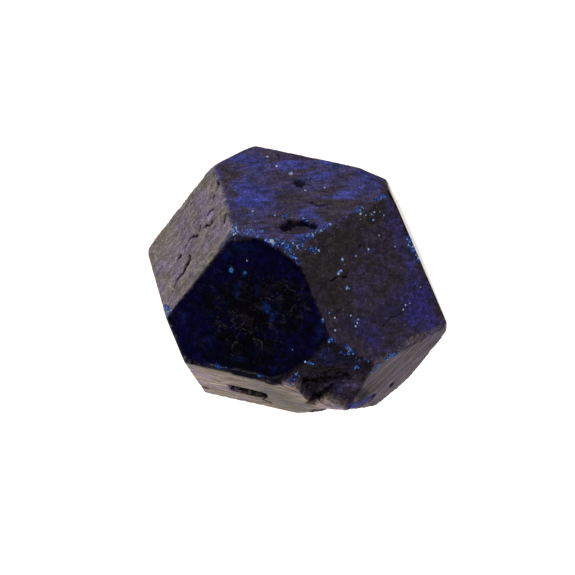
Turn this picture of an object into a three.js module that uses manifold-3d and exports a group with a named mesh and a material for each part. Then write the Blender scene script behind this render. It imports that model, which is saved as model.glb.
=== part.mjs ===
// One loose boleite crystal, in millimetres, +Z up, standing on one of its octahedron faces.
//
// The form is the cube joined with the octahedron: six cube faces and eight octahedron faces, each at its own
// distance from the crystal's middle, because a real crystal grows unevenly. Round it go the marks of growth
// and wear: rounded edges, a bevelled corner, a broken corner with a hollow in it, pits, slits, steps and a
// sprinkle of tiny crystals of the same form. All of it is one grown piece, so it is one solid.

import * as THREE from "three";
import { ConvexGeometry } from "three/addons/geometries/ConvexGeometry.js";
import { mergeVertices } from "three/addons/utils/BufferGeometryUtils.js";
import Module from "manifold-3d";

const wasm = await Module();
wasm.setup();

// ---------------------------------------------------------------- driving dimensions

const TURN = 160.8; // degrees about the vertical, of the crystal on the surface that it stands on
const EDGE_ROUND = 0.13; // radius of an ordinary edge
const ROUND_STEPS = 3; // facets across a rounded edge
const SKIN = 0.25; // how far a cutting tool stands proud of the face that it cuts
const SINK = 0.75; // how far a tiny crystal's middle lies under the surface, as a share of its half width

// Cube and octahedron faces: the outward direction along the crystal's own axes, and the distance of the face
// from the crystal's middle.
const GROWN_FACES = {
  top: { along: [1, 1, 1], reach: 4.72 },
  base: { along: [-1, -1, -1], reach: 4.3 },
  left: { along: [1, 0, 0], reach: 5.21 },
  front: { along: [1, 1, -1], reach: 4.76 },
  right: { along: [0, 1, 0], reach: 4.77 },
  underFront: { along: [0, 0, -1], reach: 4.89 },
  underRight: { along: [-1, 1, -1], reach: 5.66 },
  underLeft: { along: [1, -1, -1], reach: 5.28 },
  farRightLow: { along: [-1, 0, 0], reach: 4.92 },
  backTop: { along: [0, 0, 1], reach: 4.77 },
  backLeft: { along: [1, -1, 1], reach: 5.1 },
  backLow: { along: [-1, -1, 1], reach: 4.55 },
  backLeftLow: { along: [0, -1, 0], reach: 5.01 },
};

// Faces that wear made, and one octahedron face that grew a little off its true direction: azimuth from the
// front towards the right, and elevation, in degrees.
const OTHER_FACES = {
  farRight: { azimuth: 102.5, elevation: 19.5, reach: 5.09 },
  bevel: { azimuth: -1, elevation: 45, reach: 5.55 },
  shoulder: { azimuth: 129, elevation: 51, reach: 5.69 },
  worn: { azimuth: 6, elevation: 1, reach: 5.45 },
  wornLow: { azimuth: 4, elevation: -9, reach: 5.36 },
  foot: { azimuth: 10, elevation: -53, reach: 5.29 },
  footRight: { azimuth: 53, elevation: -38, reach: 5.9 },
};

// Corners that are rounder than the edges, each named by faces that meet there.
const ROUND_CORNERS = [
  { faces: ["left", "underLeft", "backLeft"], radius: 0.55 },
  { faces: ["top", "left", "backLeft"], radius: 0.45 },
  { faces: ["top", "backLeft", "backTop"], radius: 0.35 },
  { faces: ["top", "backTop", "farRight"], radius: 0.5 },
  { faces: ["top", "right", "farRight"], radius: 0.4 },
  { faces: ["right", "underRight", "farRight"], radius: 0.6 },
  { faces: ["underRight", "farRight", "farRightLow"], radius: 0.6 },
  { faces: ["underFront", "underLeft", "base"], radius: 0.45 },
  { faces: ["underRight", "farRightLow", "base"], radius: 0.3 },
];

// ---------------------------------------------------------------- small helpers

const vec = (x, y, z) => new THREE.Vector3(x, y, z);

/** A repeatable random source: each call gives the next number from 0 to 1. */
function randomSource(seed) {
  let state = seed;
  return () => {
    state = (state + 0x6d2b79f5) | 0;
    let mixed = Math.imul(state ^ (state >>> 15), 1 | state);
    mixed = (mixed + Math.imul(mixed ^ (mixed >>> 7), 61 | mixed)) ^ mixed;
    return ((mixed ^ (mixed >>> 14)) >>> 0) / 4294967296;
  };
}

/** A closed solid from a three.js geometry. */
function solidOf(geometry) {
  const bare = geometry.clone();
  bare.deleteAttribute("normal");
  bare.deleteAttribute("uv");
  const merged = mergeVertices(bare, 1e-5);
  const mesh = new wasm.Mesh({
    numProp: 3,
    vertProperties: new Float32Array(merged.attributes.position.array),
    triVerts: new Uint32Array(merged.index.array),
  });
  return new wasm.Manifold(mesh);
}

/** The smallest convex solid round some points. */
const hull = (points) => solidOf(new ConvexGeometry(points));

/** A three.js geometry from a closed solid. */
function geometryOf(solid) {
  const mesh = solid.getMesh();
  const position = new Float32Array(mesh.numVert * 3);
  for (let i = 0; i < mesh.numVert; i++) {
    const start = i * mesh.numProp;
    position.set(mesh.vertProperties.subarray(start, start + 3), i * 3);
  }
  const geometry = new THREE.BufferGeometry();
  geometry.setAttribute("position", new THREE.BufferAttribute(position, 3));
  geometry.setIndex(new THREE.BufferAttribute(new Uint32Array(mesh.triVerts), 1));
  return geometry;
}

// ---------------------------------------------------------------- faces and corners

/** Turns a direction along the crystal's own axes into the part's frame, with 1,1,1 pointing up. */
function standing(along) {
  const up = vec(1, 1, 1).normalize();
  const across = vec(1, -1, 0).normalize();
  const ahead = up.clone().cross(across);
  const direction = vec(...along).normalize();
  const turned = vec(direction.dot(across), direction.dot(ahead), direction.dot(up));
  return turned.applyAxisAngle(vec(0, 0, 1), THREE.MathUtils.degToRad(TURN));
}

/** The direction at an azimuth and an elevation in degrees: azimuth 0 is the front, -Y. */
function facing(azimuth, elevation) {
  const a = THREE.MathUtils.degToRad(azimuth);
  const e = THREE.MathUtils.degToRad(elevation);
  return vec(Math.sin(a) * Math.cos(e), -Math.cos(a) * Math.cos(e), Math.sin(e));
}

/** A flat face with its own axes: u runs level to the right as seen from outside, v runs up the face. */
function makeFace(name, normal, reach) {
  const level = vec(0, 0, 1).cross(normal);
  const u = level.length() < 1e-6 ? vec(1, 0, 0) : level.normalize();
  const v = normal.clone().cross(u);
  return { name, normal, reach, u, v };
}

const faces = {};
for (const [name, { along, reach }] of Object.entries(GROWN_FACES)) {
  faces[name] = makeFace(name, standing(along), reach);
}
for (const [name, { azimuth, elevation, reach }] of Object.entries(OTHER_FACES)) {
  faces[name] = makeFace(name, facing(azimuth, elevation), reach);
}

/** The point u, v on a face, raised by h. */
function onFace(face, [u, v, h = 0]) {
  const point = face.normal.clone().multiplyScalar(face.reach + h);
  return point.addScaledVector(face.u, u).addScaledVector(face.v, v);
}

/** The point where three faces meet when each is moved in by inset, or null where two are nearly parallel. */
function meetingPoint(a, b, c, inset = 0) {
  const volume = a.normal.dot(b.normal.clone().cross(c.normal));
  if (Math.abs(volume) < 0.02) return null;
  const point = b.normal.clone().cross(c.normal).multiplyScalar(a.reach - inset);
  point.addScaledVector(c.normal.clone().cross(a.normal), b.reach - inset);
  point.addScaledVector(a.normal.clone().cross(b.normal), c.reach - inset);
  return point.divideScalar(volume);
}

/** How far a point stands outside the crystal's flat faces; negative inside. */
function standsOut(point) {
  return Math.max(...Object.values(faces).map((face) => face.normal.dot(point) - face.reach));
}

/** Every corner of the flat-faced form, as the three faces that meet there. */
function findCorners() {
  const list = Object.values(faces);
  const corners = [];
  for (let i = 0; i < list.length; i++) {
    for (let j = i + 1; j < list.length; j++) {
      for (let k = j + 1; k < list.length; k++) {
        const point = meetingPoint(list[i], list[j], list[k]);
        if (point && standsOut(point) < 1e-6) corners.push([list[i], list[j], list[k]]);
      }
    }
  }
  return corners;
}

/** The rounding radius of a corner. */
function cornerRadius(corner) {
  const names = corner.map((face) => face.name);
  const special = ROUND_CORNERS.find((entry) => entry.faces.every((name) => names.includes(name)));
  return special ? special.radius : EDGE_ROUND;
}

/** Points over the rounded cap of one corner, from one face's direction to the next. */
function cornerCap(corner) {
  const radius = cornerRadius(corner);
  const middle = meetingPoint(...corner, radius);
  const steps = ROUND_STEPS + (radius > 2 * EDGE_ROUND ? 1 : 0);
  const [a, b, c] = corner.map((face) => face.normal);
  const points = [];
  for (let i = 0; i <= steps; i++) {
    for (let j = 0; j <= steps - i; j++) {
      const direction = a.clone().multiplyScalar(i);
      direction.addScaledVector(b, j).addScaledVector(c, steps - i - j);
      points.push(direction.setLength(radius).add(middle));
    }
  }
  return points;
}

/** The whole crystal with flat faces and rounded edges, before pits and growths. */
const makeBody = () => hull(findCorners().flatMap(cornerCap));

// ---------------------------------------------------------------- marks cut into the faces

/** A tool that cuts a flat-bottomed pit: its outline on a face, narrower at depth. */
function pitTool(face, outline, depth, narrowing = 0.6) {
  const middle = [0, 1].map((axis) => outline.reduce((sum, p) => sum + p[axis], 0) / outline.length);
  const inward = (p) => [0, 1].map((axis) => middle[axis] + (p[axis] - middle[axis]) * narrowing);
  const rim = outline.map((p) => onFace(face, [...p, 0]));
  const outside = outline.map((p) => onFace(face, [...p, SKIN]));
  const floor = outline.map((p) => onFace(face, [...inward(p), -depth]));
  return hull([...rim, ...outside, ...floor]);
}

/** A rough round outline of a pit. */
function roughRound([u, v], radius, random, sides = 6) {
  const points = [];
  for (let i = 0; i < sides; i++) {
    const angle = ((i + 0.4 * random()) / sides) * 2 * Math.PI;
    const reach = radius * (0.65 + 0.5 * random());
    points.push([u + reach * Math.cos(angle), v + reach * Math.sin(angle)]);
  }
  return points;
}

/** Tools for a slit along a line of points: wedges that are widest at the surface. */
function slitTools(face, line, width, depth) {
  const tools = [];
  for (let i = 0; i + 1 < line.length; i++) {
    const start = new THREE.Vector2(...line[i]);
    const end = new THREE.Vector2(...line[i + 1]);
    const side = end.clone().sub(start).rotateAround(new THREE.Vector2(), Math.PI / 2).setLength(width / 2);
    const edges = [
      start.clone().add(side),
      start.clone().sub(side),
      end.clone().add(side),
      end.clone().sub(side),
    ];
    const points = edges.flatMap((p) => [onFace(face, [p.x, p.y, 0]), onFace(face, [p.x, p.y, SKIN])]);
    points.push(onFace(face, [start.x, start.y, -depth]), onFace(face, [end.x, end.y, -depth]));
    tools.push(hull(points));
  }
  return tools;
}

/** A tool that lowers one side of a face by a step, from a line of points out past an edge. */
function stepTool(face, line, past, depth) {
  const outline = [...line, ...past];
  return hull(outline.flatMap((p) => [onFace(face, [...p, -depth]), onFace(face, [...p, SKIN])]));
}

/** Everything that is cut out of the top face. */
function topMarks(random) {
  const face = faces.top;
  const archRim = [
    [-0.68, -2.2], [-0.55, -1.8], [-0.05, -1.66], [0.33, -1.92], [0.6, -2.3], [0.1, -2.42], [-0.35, -2.4],
  ];
  const archFloor = [[-0.5, -1.78, -0.3], [-0.05, -1.67, -0.32], [0.3, -1.95, -0.26]];
  const archPoints = archRim.flatMap((p) => [onFace(face, [...p, 0]), onFace(face, [...p, SKIN])]);
  const arch = hull([...archPoints, ...archFloor.map((p) => onFace(face, p))]);
  const pits = [
    { at: [0.12, 0.8], radius: 0.24, depth: 0.16 },
    { at: [0.42, 0.62], radius: 0.15, depth: 0.1 },
    { at: [-1.07, 0.67], radius: 0.11, depth: 0.09 },
    { at: [-1.44, 1.69], radius: 0.12, depth: 0.09 },
    { at: [1.54, 1.76], radius: 0.12, depth: 0.1 },
    { at: [1.53, 0.67], radius: 0.1, depth: 0.08 },
    { at: [2.6, 0.9], radius: 0.09, depth: 0.07 },
  ];
  return [
    arch,
    ...pits.map((pit) => pitTool(face, roughRound(pit.at, pit.radius, random), pit.depth)),
    stepTool(face, [[-0.1, -1.0], [1.32, -0.68], [3.3, -0.56]], [[5, -0.9], [3.4, -2.2], [0.4, -3.9]], 0.045),
    ...slitTools(face, [[-2.7, -1.55], [-1.9, -1.35]], 0.07, 0.05),
    ...slitTools(face, [[-2.5, -1.8], [-1.5, -1.55]], 0.07, 0.05),
  ];
}

/** The slits of the satin left face, which all run the same way, and its small pits. */
function leftMarks(random) {
  const face = faces.left;
  const slits = [
    { line: [[-1.35, 2.08], [-1.08, 2.08], [-0.89, 1.78]], width: 0.11, depth: 0.14 },
    { line: [[-0.89, 1.72], [-0.76, 1.54]], width: 0.08, depth: 0.1 },
    { line: [[-0.24, 1.48], [-0.28, 1.2]], width: 0.08, depth: 0.1 },
    { line: [[0.34, 1.13], [0.24, 0.79], [0.02, 0.6]], width: 0.09, depth: 0.1 },
    { line: [[0.96, 2.16], [0.97, 1.91], [1.16, 1.81]], width: 0.08, depth: 0.1 },
    { line: [[-0.02, 0.06], [-0.26, -0.28], [-0.18, -0.5]], width: 0.09, depth: 0.1 },
    { line: [[-0.04, -1.02], [-0.08, -1.3]], width: 0.1, depth: 0.1 },
    { line: [[0.62, -0.5], [0.8, -0.9], [0.95, -1.5], [1.11, -1.79]], width: 0.11, depth: 0.14 },
  ];
  const pits = [[1.3, 0.9], [-1.6, 0.6], [0.4, -2.2], [1.9, -0.6]];
  return [
    ...slits.flatMap(({ line, width, depth }) => slitTools(face, line, width, depth)),
    ...pits.map((at) => pitTool(face, roughRound(at, 0.08, random), 0.06)),
  ];
}

/** Thin growth steps and a curved chip on the glossy front face. */
function frontMarks(random) {
  const face = faces.front;
  return [
    ...slitTools(face, [[-2.84, 0.85], [-1.65, 0.92]], 0.06, 0.05),
    ...slitTools(face, [[1.5, 1.1], [1.22, 0.55], [0.9, 0.2]], 0.08, 0.06),
    ...slitTools(face, [[-0.8, -0.55], [-1.05, -1.3], [-1.0, -1.95]], 0.06, 0.05),
    pitTool(face, roughRound([-1.36, 1.82], 0.12, random), 0.07),
    pitTool(face, roughRound([0.35, 0.5], 0.2, random), 0.06),
  ];
}

/** Cracks and pits of the right face. */
function rightMarks(random) {
  const face = faces.right;
  return [
    ...slitTools(face, [[-1.3, 0.42], [-0.65, 0.31]], 0.08, 0.09),
    ...slitTools(face, [[0.05, -2.3], [0.55, -2.2], [1.05, -2.22]], 0.09, 0.1),
    pitTool(face, roughRound([0.52, 1.08], 0.11, random), 0.1),
    pitTool(face, roughRound([1.9, -0.9], 0.09, random), 0.06),
    pitTool(face, roughRound([-0.9, -1.5], 0.1, random), 0.06),
  ];
}

/** The slot, the crack and the pit of the pale face under the front. */
function underFrontMarks(random) {
  const face = faces.underFront;
  const slot = [[-1.48, 0.55], [-0.7, 0.5], [0.16, 0.44], [0.04, -0.38], [-0.55, -0.4], [-1.4, -0.28]];
  return [
    pitTool(face, slot, 0.3, 0.8),
    ...slitTools(face, [[-2.4, 0.9], [-1.84, 0.61]], 0.08, 0.1),
    pitTool(face, roughRound([-2.7, -0.3], 0.12, random), 0.08),
    pitTool(face, [[-0.75, -2.3], [-0.25, -2.45], [-0.2, -1.95], [-0.6, -1.85]], 0.12),
  ];
}

/** Fine growth lines of the face under the right, along its upper edge. */
function underRightMarks(random) {
  const face = faces.underRight;
  const rise = 0.34;
  const lines = [
    { from: -1.7, to: 2.0, height: 1.32 },
    { from: -1.5, to: 2.3, height: 1.0 },
    { from: -1.3, to: 1.9, height: 0.66 },
    { from: -1.0, to: 1.7, height: 0.3 },
    { from: -0.8, to: 1.5, height: -0.08 },
  ];
  const middle = (line) => (line.from + line.to) / 2;
  return [
    ...lines.flatMap((line) =>
      slitTools(face, [
        [line.from, line.height - rise / 2],
        [middle(line), line.height + 0.03],
        [line.to, line.height + rise / 2],
      ], 0.08, 0.045),
    ),
    pitTool(face, roughRound([0.72, -0.74], 0.12, random), 0.1),
  ];
}

/** The hollow in the broken corner: a cave under a lip, a gully down from it, and a flaked block. */
function cornerHollow() {
  const face = faces.wornLow;
  const at = (points) => hull(points.map((p) => onFace(face, p)));
  const caveRim = [
    [-0.38, 0.05], [0.48, 0.36], [1.59, 0.41], [1.88, 0.03], [1.23, -0.41], [0.41, -0.66], [-0.25, -0.5],
  ];
  const caveFloor = [
    [0.0, 0.15, -0.5], [0.55, 0.46, -0.6], [1.42, 0.5, -0.55],
    [1.6, 0.1, -0.4], [1.05, -0.2, -0.4], [0.3, -0.4, -0.5],
  ];
  const cave = at([...caveRim.map((p) => [...p, 0]), ...caveRim.map((p) => [...p, SKIN]), ...caveFloor]);
  const gully = at([
    [-0.25, -0.45, SKIN], [0.55, -0.6, SKIN], [0.35, -1.6, 0.1], [0.09, -2.0, 0], [-0.21, -0.85, SKIN],
    [-0.25, -0.45, 0], [0.6, -0.62, 0], [0.7, -0.86, 0], [0.31, -1.65, -0.25], [0.09, -2.12, -0.6],
    [0.05, -0.45, -0.5], [0.4, -0.6, -0.5], [0.34, -1.2, -0.5], [0.14, -1.9, -0.75],
  ]);
  const flake = at([
    [1.1, -0.2, 0.2], [2.5, -0.1, 0.2], [2.7, -0.7, 0.2], [2.1, -1.3, 0.2], [1.3, -1.05, 0.2],
    [1.2, -0.3, -0.3], [1.9, -0.2, -0.16], [2.3, -0.6, -0.1], [1.8, -1.0, -0.12], [1.35, -0.85, -0.2],
  ]);
  const lip = at([
    [1.7, 0.05, 0.2], [2.7, -0.05, 0.2], [2.7, -0.25, 0.2], [1.8, -0.2, 0.2],
    [1.8, -0.05, -0.2], [2.3, -0.12, -0.14],
  ]);
  return [cave, gully, flake, lip];
}

/** The scooped foot of the broken corner. */
function footScoops() {
  const face = faces.foot;
  const at = (points) => hull(points.map((p) => onFace(face, p)));
  const scoop = at([
    [0.3, 1.8, 0.3], [1.45, 1.8, 0.3], [1.45, -2.5, 0.3], [0.3, -2.5, 0.3],
    [0.7, 1.8, -0.12], [1.05, 1.8, -0.12], [1.1, -2.5, -0.12], [0.65, -2.5, -0.12],
  ]);
  return [scoop];
}

/** Pits, slits and steps of the faces that look away from the front. */
function rearMarks(random) {
  const tools = [];
  const rear = ["backTop", "backLeft", "backLow", "backLeftLow", "farRight", "farRightLow", "underLeft"];
  for (const name of rear) {
    const face = faces[name];
    const lean = random() * Math.PI;
    for (let i = 0; i < 5; i++) {
      const at = [3.2 * (random() - 0.5), 2.6 * (random() - 0.5)];
      tools.push(pitTool(face, roughRound(at, 0.08 + 0.12 * random(), random), 0.06 + 0.06 * random()));
    }
    for (let i = 0; i < 4; i++) {
      const from = [3 * (random() - 0.5), 2.4 * (random() - 0.5)];
      const length = 0.4 + 0.7 * random();
      const to = [from[0] + length * Math.cos(lean), from[1] + length * Math.sin(lean)];
      tools.push(...slitTools(face, [from, to], 0.09, 0.09));
    }
  }
  return tools;
}

// ---------------------------------------------------------------- tiny crystals grown on the edges

/** Moves a point that stands outside the crystal back onto its faces. */
function settle(point) {
  for (const face of Object.values(faces)) {
    const proud = face.normal.dot(point) - face.reach;
    if (proud > 0) point.addScaledVector(face.normal, -proud);
  }
  return point;
}

/** A tiny crystal, a cube with its corners cut away, half sunk in the surface at a point. */
function tinyCrystal(point, size, random) {
  const reach = size / 2;
  const tilt = new THREE.Euler(0.5 * random(), 0.5 * random(), 0.5 * random());
  const middle = point.clone().setLength(point.length() - SINK * reach);
  const points = [];
  for (const [a, b] of [[1, 1], [1, -1], [-1, 1], [-1, -1]]) {
    for (const along of [[a, b, 0], [0, a, b], [b, 0, a]]) {
      const arm = standing(along).setLength(reach * Math.SQRT2).applyEuler(tilt);
      points.push(arm.add(middle));
    }
  }
  return hull(points);
}

/** Tiny crystals along a line on a face, each a little off it. */
function sprinkle({ on, from, to, spread, count, size }, random) {
  const grown = [];
  for (let i = 0; i < count; i++) {
    const along = (i + random()) / count;
    const u = from[0] + (to[0] - from[0]) * along + spread * (random() - 0.5);
    const v = from[1] + (to[1] - from[1]) * along + spread * (random() - 0.5);
    const point = settle(onFace(faces[on], [u, v]));
    grown.push(tinyCrystal(point, size * (0.55 + 0.75 * random()), random));
  }
  return grown;
}

const SPRINKLES = [
  { on: "top", from: [0.3, -2.95], to: [3.6, -0.2], spread: 0.16, count: 20, size: 0.17 },
  { on: "bevel", from: [-1.15, 1.05], to: [0.2, 0.4], spread: 0.3, count: 16, size: 0.2 },
  { on: "top", from: [-2.5, -2.1], to: [-2.0, -2.6], spread: 0.35, count: 7, size: 0.14 },
  { on: "right", from: [-1.8, 2.1], to: [-1.75, 1.7], spread: 0.2, count: 4, size: 0.15 },
  { on: "right", from: [-0.5, 0.95], to: [-0.8, -0.15], spread: 0.12, count: 4, size: 0.14 },
  { on: "worn", from: [0.8, 1.15], to: [2.4, -0.05], spread: 0.4, count: 14, size: 0.18 },
  { on: "wornLow", from: [-1.25, 0.4], to: [-0.45, 0.3], spread: 0.25, count: 8, size: 0.18 },
  { on: "front", from: [-1.8, -2.42], to: [-1.3, -2.5], spread: 0.1, count: 5, size: 0.18 },
  { on: "front", from: [2.42, 0.9], to: [2.55, 0.4], spread: 0.1, count: 4, size: 0.14 },
  { on: "left", from: [1.45, -2.5], to: [1.95, -2.45], spread: 0.25, count: 6, size: 0.17 },
  { on: "farRight", from: [-1.6, 0.6], to: [-1.5, -0.6], spread: 0.2, count: 4, size: 0.15 },
  { on: "backTop", from: [-1.8, 1.9], to: [1.9, 1.9], spread: 0.3, count: 9, size: 0.17 },
  { on: "backLow", from: [-2.0, 1.4], to: [0.4, 1.4], spread: 0.4, count: 7, size: 0.18 },
];

// ---------------------------------------------------------------- the crystal

function makeCrystal() {
  const random = randomSource(20);
  const cuts = [
    ...topMarks(random),
    ...leftMarks(random),
    ...frontMarks(random),
    ...rightMarks(random),
    ...underFrontMarks(random),
    ...underRightMarks(random),
    ...rearMarks(random),
    ...cornerHollow(),
    ...footScoops(),
  ];
  const growths = SPRINKLES.flatMap((entry) => sprinkle(entry, random));
  const carved = cuts.reduce((solid, tool) => solid.subtract(tool), makeBody());
  return growths.reduce((solid, growth) => solid.add(growth), carved);
}

const geometry = geometryOf(makeCrystal());
geometry.computeBoundingBox();
const { min, max } = geometry.boundingBox;
geometry.translate(-(min.x + max.x) / 2, -(min.y + max.y) / 2, -min.z);
geometry.computeVertexNormals();

const material = new THREE.MeshStandardMaterial({ color: 0x2b2450, roughness: 0.45, metalness: 0 });
const crystal = new THREE.Mesh(geometry, material);
crystal.name = "boleite_crystal";

const part = new THREE.Group();
part.add(crystal);

export default part;
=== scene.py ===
"""A loose boleite crystal on a plain white floor.

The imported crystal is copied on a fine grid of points. Its faces are made exactly flat again, and then each
one gets its own marks, relief and finish. A mark is placed by the u, v axes of the face that carries it.
Lengths are in millimetres until a mesh is handed to Blender.
"""

import math

import bmesh
import bpy
import numpy as np
from mathutils import Matrix, Quaternion, Vector
from mathutils.bvhtree import BVHTree


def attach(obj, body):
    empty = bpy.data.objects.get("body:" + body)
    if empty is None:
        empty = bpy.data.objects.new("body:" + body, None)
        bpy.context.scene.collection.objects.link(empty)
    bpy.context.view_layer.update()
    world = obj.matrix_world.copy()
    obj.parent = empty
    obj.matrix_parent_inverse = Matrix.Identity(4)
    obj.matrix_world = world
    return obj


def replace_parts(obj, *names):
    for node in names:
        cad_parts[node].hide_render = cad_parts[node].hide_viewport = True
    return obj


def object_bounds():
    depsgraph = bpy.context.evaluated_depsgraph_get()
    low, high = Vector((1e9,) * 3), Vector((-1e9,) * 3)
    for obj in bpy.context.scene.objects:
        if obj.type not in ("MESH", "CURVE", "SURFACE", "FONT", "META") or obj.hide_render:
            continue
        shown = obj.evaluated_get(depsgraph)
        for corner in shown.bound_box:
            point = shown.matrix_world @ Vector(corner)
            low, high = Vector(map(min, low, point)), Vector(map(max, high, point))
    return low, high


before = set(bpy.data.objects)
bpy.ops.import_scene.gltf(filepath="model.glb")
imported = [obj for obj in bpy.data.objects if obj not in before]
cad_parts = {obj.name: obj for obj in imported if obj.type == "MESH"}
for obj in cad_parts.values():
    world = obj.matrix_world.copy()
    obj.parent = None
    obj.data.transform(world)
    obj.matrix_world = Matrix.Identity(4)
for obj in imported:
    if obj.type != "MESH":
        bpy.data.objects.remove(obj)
cad_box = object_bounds()

MM = 0.001
NODE = "boleite_crystal"
GRID = 0.13  # spacing of the coarse mesh, halved on the faces in front and once more along fine marks
SEED = 20

# ---------------------------------------------------------------- the crystal's faces

TURN = math.radians(160.8)  # of the crystal about the vertical

# Direction of each face along the crystal's own axes, and its distance from the crystal's middle.
GROWN_FACES = {
    "top": ((1, 1, 1), 4.72),
    "base": ((-1, -1, -1), 4.30),
    "left": ((1, 0, 0), 5.21),
    "front": ((1, 1, -1), 4.76),
    "right": ((0, 1, 0), 4.77),
    "underFront": ((0, 0, -1), 4.89),
    "underRight": ((-1, 1, -1), 5.66),
    "underLeft": ((1, -1, -1), 5.28),
    "farRightLow": ((-1, 0, 0), 4.92),
    "backTop": ((0, 0, 1), 4.77),
    "backLeft": ((1, -1, 1), 5.10),
    "backLow": ((-1, -1, 1), 4.55),
    "backLeftLow": ((0, -1, 0), 5.01),
}
# Azimuth from the front towards the right, elevation, and distance from the middle.
OTHER_FACES = {
    "farRight": (102.5, 19.5, 5.09),
    "bevel": (-1, 45, 5.55),
    "shoulder": (129, 51, 5.69),
    "worn": (6, 1, 5.45),
    "wornLow": (4, -9, 5.36),
    "foot": (10, -53, 5.29),
    "footRight": (53, -38, 5.90),
}
BROKEN = ("worn", "wornLow", "foot", "footRight")
SATIN = ("left", "underFront", "underRight", "underLeft", "backLeft")
GLASSY = ("front", "farRight")
TOP_LIKE = ("top", "backTop", "backLow", "shoulder")
RIGHT_LIKE = ("right", "farRightLow", "backLeftLow")
HIDDEN = ("backTop", "backLow", "shoulder", "farRightLow", "backLeftLow")
GRAINY = TOP_LIKE + RIGHT_LIKE + ("bevel",)
IN_FRONT = ("top", "right", "left", "bevel", "underFront", "underRight") + BROKEN

# Each finish: refractive index (the duller, the less it mirrors), then the face, lean and stretch of its
# grain. Where two finishes meet, the later one wins.
FINISHES = {
    "dull": (1.42, "top", 3, 2.6),
    "hazy": (1.42, "right", 40, 2.0),
    "glassy": (1.65, "front", 0, 1.0),
    "satin": (1.60, "left", 93, 2.6),
    "streaked": (1.24, "underRight", 38, 9.0),
    "chalky": (1.36, "underFront", 5, 5.0),
    "dulling": (1.38, "front", 0, 1.0),
    "rough": (1.13, "top", 3, 2.0),
}
FINISH_OF = {name: "satin" for name in SATIN} | {name: "glassy" for name in GLASSY}
FINISH_OF |= {name: "rough" for name in BROKEN}
FINISH_OF |= {"underRight": "streaked", "underFront": "chalky", "right": "hazy"}


def unit(v):
    """The same direction, with length 1."""
    v = np.asarray(v, float)
    return v / np.linalg.norm(v)


def standing(along):
    """A direction along the crystal's own axes, in the part's frame, with 1,1,1 pointing up."""
    up = unit((1, 1, 1))
    across = unit((1, -1, 0))
    ahead = np.cross(up, across)
    d = unit(along)
    x, y, z = d @ across, d @ ahead, d @ up
    c, s = math.cos(TURN), math.sin(TURN)
    return np.array((c * x - s * y, s * x + c * y, z))


def facing(azimuth, elevation):
    """The direction so many degrees from the front towards the right, and up."""
    a, e = math.radians(azimuth), math.radians(elevation)
    return np.array((math.sin(a) * math.cos(e), -math.cos(a) * math.cos(e), math.sin(e)))


class Face:
    """A flat face: u runs level to the right as seen from outside, v runs up the face."""

    def __init__(self, normal, reach):
        self.normal = normal
        self.reach = reach
        level = np.cross((0, 0, 1), normal)
        self.u = unit(level) if np.linalg.norm(level) > 1e-6 else np.array((1.0, 0, 0))
        self.v = np.cross(normal, self.u)

    def point(self, u, v):
        return self.normal * self.reach + self.u * u + self.v * v

    def way(self, lean):
        """The direction on the face that leans so many degrees up from u."""
        return self.u * math.cos(math.radians(lean)) + self.v * math.sin(math.radians(lean))


FACES = {name: Face(standing(along), reach) for name, (along, reach) in GROWN_FACES.items()}
FACES.update({name: Face(facing(az, el), reach) for name, (az, el, reach) in OTHER_FACES.items()})
NAMES = list(FACES)
NORMALS = np.array([face.normal for face in FACES.values()])
REACHES = np.array([face.reach for face in FACES.values()])


def meeting_point(*names):
    """The corner of three faces."""
    faces = [FACES[name] for name in names]
    return np.linalg.solve([face.normal for face in faces], [face.reach for face in faces])


def column(items, what, kind=float, width=1):
    """One property of all of a mesh's points, corners or polygons."""
    values = np.zeros(len(items) * width, kind)
    items.foreach_get(what, values)
    return values.reshape(-1, width) if width > 1 else values


def crystal_middle(node):
    """The crystal's middle in the part's frame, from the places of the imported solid's flat faces."""
    polygons = node.data.polygons
    normals = column(polygons, "normal", width=3)
    centres = column(polygons, "center", width=3) / MM
    areas = column(polygons, "area")
    rows, offsets = [], []
    for name in ("base", "left", "front", "right", "underFront", "underRight"):
        face = FACES[name]
        on = normals @ face.normal > 0.9999
        places, which = np.unique(np.round(centres[on] @ face.normal, 3), return_inverse=True)
        totals = np.bincount(which, weights=areas[on])
        rows.append(face.normal)
        offsets.append(places[totals.argmax()] - face.reach)
    return np.linalg.lstsq(np.array(rows), np.array(offsets), rcond=None)[0]


MIDDLE = crystal_middle(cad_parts[NODE])
LOWEST, HIGHEST = [np.array(corner) / MM - MIDDLE for corner in cad_box]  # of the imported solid

# ---------------------------------------------------------------- marks
#
# Each table lists the marks of each face, picked one by one. Their numbers are hundredths: of a millimetre
# for places, sizes and depths, and of the whole for strengths and factors. Leans are in degrees.

# Ovals: u, v, half sizes along u and v, then depth, strength or factor, and the lean where there is one.
PITS = {
    "top": [
        (-2, -222, 64, 46, 10), (-14, -191, 42, 19, 30, -4), (-46, -214, 25, 26, 22),
        (8, 68, 26, 20, 14, -30), (44, 60, 13, 10, 10), (46, 92, 12, 12, 7), (-107, 67, 14, 7, 8),
        (-144, 169, 13, 10, 6, 20), (154, 176, 15, 9, 9), (-75, 245, 5, 22, 6), (-58, 20, 22, 6, 5),
        (145, 42, 11, 7, 5), (-135, -194, 10, 8, 5), (-180, -160, 8, 6, 5),
    ],
    "left": [
        (-66, -224, 6, 10, 6, 20), (-149, -232, 7, 7, 5), (123, -205, 7, 7, 6), (-83, 17, 6, 8, 6),
        (-89, -14, 5, 5, 5), (-205, 194, 10, 10, 6),
    ],
    "right": [(54, 107, 10, 8, 9, -40), (80, -108, 7, 6, 5), (-9, -112, 8, 5, 4)],
    "underFront": [(-284, -88, 16, 14, 7), (-117, 162, 5, 6, 4), (-54, 202, 5, 6, 4)],
    "underRight": [(72, -74, 13, 12, 10), (-23, -84, 10, 8, 6)],
}
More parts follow.
